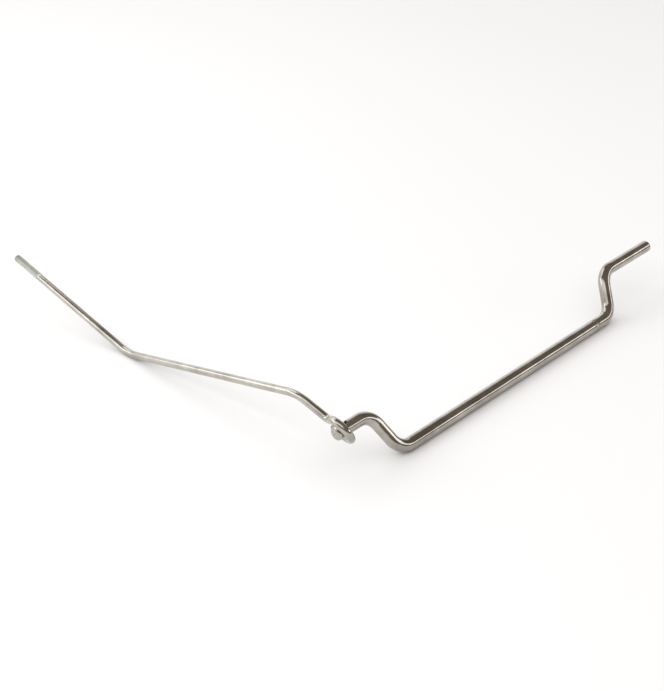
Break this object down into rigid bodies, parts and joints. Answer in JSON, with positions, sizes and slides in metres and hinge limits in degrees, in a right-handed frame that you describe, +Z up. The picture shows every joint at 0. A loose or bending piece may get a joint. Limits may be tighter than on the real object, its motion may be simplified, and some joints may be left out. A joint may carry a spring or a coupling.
{
  "type": "drill paint mixer",
  "caption": "Cranked round bar that a drill turns by its shank to stir, its stub running in the eye of a slim bent steady rod with a threaded end.",
  "frame": {"origin": "middle of the object's footprint, on the surface it lies on", "axes": "+X along the crank rod's axis from its stub to its shank, +Y from the eye towards the slim rod's free end, +Z up as it lies"},
  "size_m": [0.392, 0.3918, 0.0465],
  "materials": {
    "plated_bar": "bright plated, lengthwise reflections, light handling marks",
    "plated_rod": "bright plated, duller greenish zinc on the rolled thread",
    "spring_steel": "dark oiled spring steel"
  },
  "bodies": {
    "crank": {"crank_rod": "plated_bar", "stop_pin": "spring_steel"},
    "steady_rod": {"slim_rod": "plated_rod"}
  },
  "joints": [
    {"name": "eye_turn", "type": "hinge", "parent": "crank", "child": "steady_rod", "pos_m": [-0.18818, -0.17172, 0.03308], "axis": [1, 0, 0], "range_deg": [-55, 88]}
  ]
}
